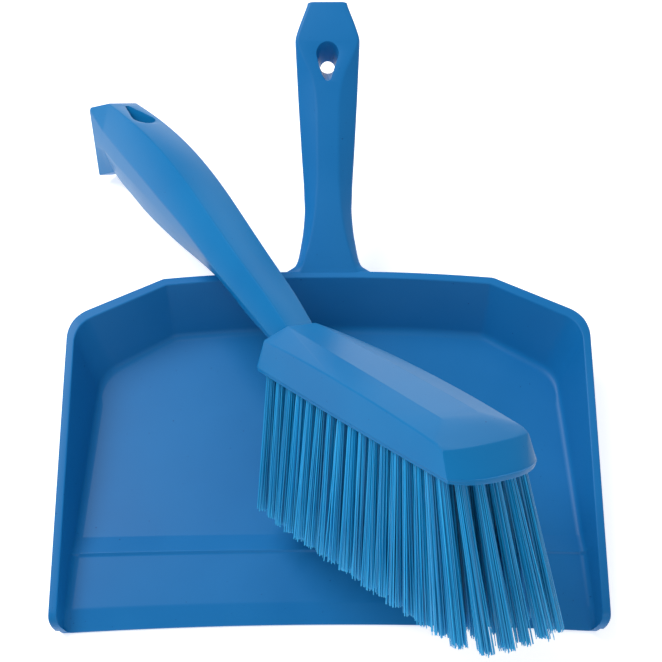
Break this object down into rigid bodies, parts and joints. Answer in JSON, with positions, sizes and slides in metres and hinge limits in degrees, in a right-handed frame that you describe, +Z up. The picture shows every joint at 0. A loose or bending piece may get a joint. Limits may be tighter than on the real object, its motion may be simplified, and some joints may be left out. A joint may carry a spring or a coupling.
{
  "type": "dust pan and brush set",
  "caption": "Blue moulded dust pan with an upright-walled scoop and hanging handle, and a hand brush with an arched handle leaning over it.",
  "frame": {"origin": "middle of the flat underside of the pan's scoop, on the surface it stands on", "axes": "+Z up, -Y towards the pan's front lip, +X to the right as seen from the lip"},
  "size_m": [0.2605, 0.3455, 0.1483],
  "materials": {
    "pan_plastic": "satin moulded",
    "brush_plastic": "satin moulded",
    "filament": "drawn filament",
    "anchor_wire": "drawn wire"
  },
  "bodies": {
    "pan": {"pan": "pan_plastic"},
    "brush": {"stock": "brush_plastic", "anchors": "anchor_wire", "tufts_01": "filament", "tufts_02": "filament", "tufts_03": "filament", "tufts_04": "filament", "tufts_05": "filament", "tufts_06": "filament", "tufts_07": "filament", "tufts_08": "filament", "tufts_09": "filament", "tufts_10": "filament", "tufts_11": "filament", "tufts_12": "filament", "tufts_13": "filament", "tufts_14": "filament", "tufts_15": "filament", "tufts_16": "filament", "tufts_17": "filament", "tufts_18": "filament"}
  },
  "joints": [
    {"name": "brush_lift", "type": "slide", "parent": "pan", "child": "brush", "axis": [0, 0, 1], "range_m": [0, 0.25]}
  ]
}
